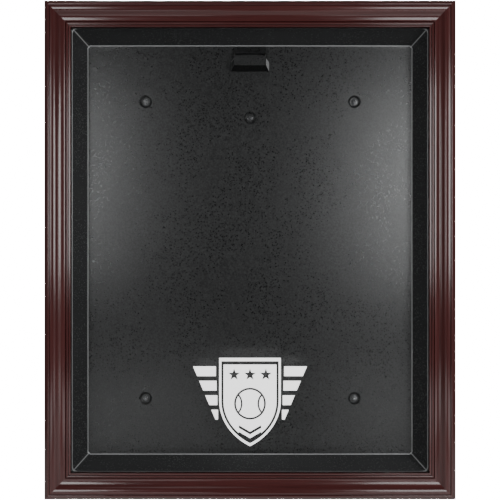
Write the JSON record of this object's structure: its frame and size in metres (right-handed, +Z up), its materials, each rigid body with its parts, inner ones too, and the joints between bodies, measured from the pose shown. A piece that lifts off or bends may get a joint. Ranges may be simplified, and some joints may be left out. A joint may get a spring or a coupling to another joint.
{
  "type": "jersey display frame",
  "caption": "Wall case for a folded jersey: mitred moulded wood door with a clear sheet, hinged on a shallow wood case lined with a black moulded tray",
  "frame": {"origin": "middle of the back board's rear face, where the case lies against the wall", "axes": "+Z up, +X to the right of somebody facing the case, the front door faces -Y and the wall is at +Y"},
  "size_m": [0.88, 0.0889, 1.0668],
  "materials": {
    "mahogany": "stained and lacquered, satin",
    "acrylic": "clear polished acrylic sheet",
    "white_film": "white printed film",
    "black_tray": "black ABS with a fine haircell grain",
    "black_stop": "black extruded plastic strip",
    "zinc_steel": "bright zinc plated",
    "dark_screw": "black oxide",
    "antique_brass": "antique brass plated steel",
    "hardboard": "tempered hardboard",
    "magnet": "nickel plated",
    "clear_rubber": "soft translucent dot"
  },
  "bodies": {
    "case": {"case_rail_top": "mahogany", "case_rail_bottom": "mahogany", "case_side_left": "mahogany", "case_side_right": "mahogany", "case_corner_nails": "zinc_steel", "tray": "black_tray", "tray_flange_screws": "dark_screw", "tray_screws": "dark_screw", "back_board": "hardboard", "back_board_screws": "zinc_steel", "hinge_case_leaves": "antique_brass", "hinge_case_screws": "antique_brass", "hinge_pins": "antique_brass", "catch_magnets": "magnet", "door_bumpers": "clear_rubber", "hanger_plates": "zinc_steel", "hanger_plate_screws": "zinc_steel"},
    "door": {"door_rail_top": "mahogany", "door_rail_bottom": "mahogany", "door_stile_left": "mahogany", "door_stile_right": "mahogany", "door_corner_nails": "zinc_steel", "acrylic_panel": "acrylic", "glazing_stop_top": "black_stop", "glazing_stop_bottom": "black_stop", "glazing_stop_left": "black_stop", "glazing_stop_right": "black_stop", "glazing_stop_pins": "zinc_steel", "emblem_print": "white_film", "hinge_door_leaves": "antique_brass", "hinge_door_screws": "antique_brass", "catch_strikes": "zinc_steel", "catch_strike_screws": "zinc_steel"}
  },
  "joints": [
    {"name": "door_hinge", "type": "hinge", "parent": "case", "child": "door", "pos_m": [-0.4366, -0.0627, 0], "axis": [0, 0, -1], "range_deg": [0, 120]}
  ]
}
